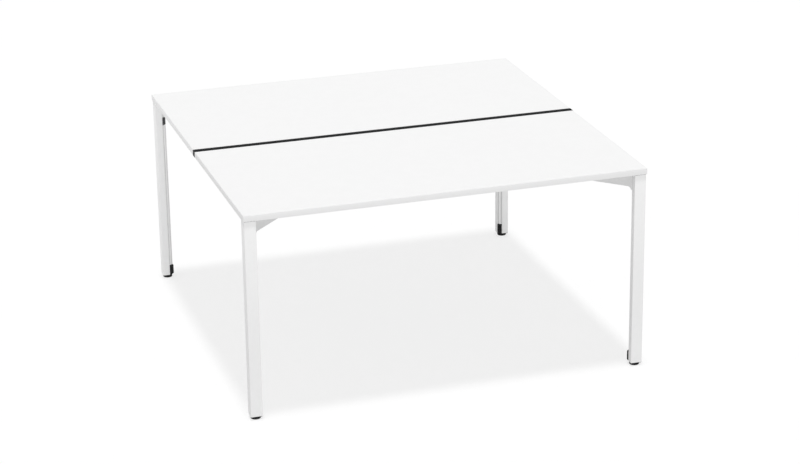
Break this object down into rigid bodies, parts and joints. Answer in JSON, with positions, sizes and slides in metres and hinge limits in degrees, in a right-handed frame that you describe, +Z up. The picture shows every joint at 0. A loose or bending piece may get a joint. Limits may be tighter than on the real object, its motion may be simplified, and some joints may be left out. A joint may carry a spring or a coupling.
{
  "type": "benching desk",
  "caption": "Face-to-face benching desk: white worktops either side of a black strip, on square legs with a cut inner corner, cable channels, diagonal arms and screw-levelled feet.",
  "frame": {"origin": "on the floor under the middle of the desk", "axes": "+Z up, +X along the strip to the right, +Y towards the rear person's side"},
  "size_m": [1.4, 1.4, 0.72],
  "materials": {
    "worktop": "white melamine facing",
    "edge_band": "ABS edging",
    "black_strip": "black anodised",
    "powder_coat": "fine white powder coat on steel and aluminium",
    "cast_arm": "white powder coat on die-cast aluminium",
    "cover": "extruded white PVC",
    "black_plastic": "moulded black plastic",
    "grey_plastic": "moulded dark grey plastic",
    "nylon": "black nylon",
    "brass": "turned",
    "zinc": "zinc-plated steel"
  },
  "bodies": {
    "desk": {"worktop_front": "worktop", "edge_band_front": "edge_band", "worktop_rear": "worktop", "edge_band_rear": "edge_band", "centre_strip": "black_strip", "strip_end_left": "black_plastic", "strip_end_right": "black_plastic", "long_beam_front": "powder_coat", "long_beam_rear": "powder_coat", "cross_beam_left": "powder_coat", "cross_beam_right": "powder_coat", "centre_beam": "powder_coat", "leg_front_left": "powder_coat", "leg_cap_front_left": "black_plastic", "corner_arm_front_left": "cast_arm", "nut_plate_front_left": "zinc", "arm_screw_upper_front_left": "zinc", "arm_screw_lower_front_left": "zinc", "cable_cover_front_left": "cover", "inlet_lining_front_left": "grey_plastic", "foot_cap_front_left": "black_plastic", "threaded_bush_front_left": "brass", "leg_front_right": "powder_coat", "leg_cap_front_right": "black_plastic", "corner_arm_front_right": "cast_arm", "nut_plate_front_right": "zinc", "arm_screw_upper_front_right": "zinc", "arm_screw_lower_front_right": "zinc", "cable_cover_front_right": "cover", "inlet_lining_front_right": "grey_plastic", "foot_cap_front_right": "black_plastic", "threaded_bush_front_right": "brass", "leg_rear_right": "powder_coat", "leg_cap_rear_right": "black_plastic", "corner_arm_rear_right": "cast_arm", "nut_plate_rear_right": "zinc", "arm_screw_upper_rear_right": "zinc", "arm_screw_lower_rear_right": "zinc", "cable_cover_rear_right": "cover", "inlet_lining_rear_right": "grey_plastic", "foot_cap_rear_right": "black_plastic", "threaded_bush_rear_right": "brass", "leg_rear_left": "powder_coat", "leg_cap_rear_left": "black_plastic", "corner_arm_rear_left": "cast_arm", "nut_plate_rear_left": "zinc", "arm_screw_upper_rear_left": "zinc", "arm_screw_lower_rear_left": "zinc", "cable_cover_rear_left": "cover", "inlet_lining_rear_left": "grey_plastic", "foot_cap_rear_left": "black_plastic", "threaded_bush_rear_left": "brass"},
    "glide_front_left": {"glide_pad_front_left": "nylon"},
    "stem_front_left": {"glide_stem_front_left": "zinc"},
    "glide_front_right": {"glide_pad_front_right": "nylon"},
    "stem_front_right": {"glide_stem_front_right": "zinc"},
    "glide_rear_right": {"glide_pad_rear_right": "nylon"},
    "stem_rear_right": {"glide_stem_rear_right": "zinc"},
    "glide_rear_left": {"glide_pad_rear_left": "nylon"},
    "stem_rear_left": {"glide_stem_rear_left": "zinc"}
  },
  "joints": [
    {"name": "glide_slide_front_left", "type": "slide", "parent": "desk", "child": "glide_front_left", "axis": [0, 0, -1], "range_m": [0, 0.012]},
    {"name": "stem_turn_front_left", "type": "hinge", "parent": "glide_front_left", "child": "stem_front_left", "pos_m": [-0.677, -0.677, 0.0045], "axis": [0, 0, -1], "range_deg": [0, 3456]},
    {"name": "glide_slide_front_right", "type": "slide", "parent": "desk", "child": "glide_front_right", "axis": [0, 0, -1], "range_m": [0, 0.012]},
    {"name": "stem_turn_front_right", "type": "hinge", "parent": "glide_front_right", "child": "stem_front_right", "pos_m": [0.677, -0.677, 0.0045], "axis": [0, 0, -1], "range_deg": [0, 3456]},
    {"name": "glide_slide_rear_right", "type": "slide", "parent": "desk", "child": "glide_rear_right", "axis": [0, 0, -1], "range_m": [0, 0.012]},
    {"name": "stem_turn_rear_right", "type": "hinge", "parent": "glide_rear_right", "child": "stem_rear_right", "pos_m": [0.677, 0.677, 0.0045], "axis": [0, 0, -1], "range_deg": [0, 3456]},
    {"name": "glide_slide_rear_left", "type": "slide", "parent": "desk", "child": "glide_rear_left", "axis": [0, 0, -1], "range_m": [0, 0.012]},
    {"name": "stem_turn_rear_left", "type": "hinge", "parent": "glide_rear_left", "child": "stem_rear_left", "pos_m": [-0.677, 0.677, 0.0045], "axis": [0, 0, -1], "range_deg": [0, 3456]}
  ],
  "couplings": [
    {"joint": "glide_slide_front_left", "follows": "stem_turn_front_left", "m_per_rad": 0.00019894},
    {"joint": "glide_slide_front_right", "follows": "stem_turn_front_right", "m_per_rad": 0.00019894},
    {"joint": "glide_slide_rear_right", "follows": "stem_turn_rear_right", "m_per_rad": 0.00019894},
    {"joint": "glide_slide_rear_left", "follows": "stem_turn_rear_left", "m_per_rad": 0.00019894}
  ]
}
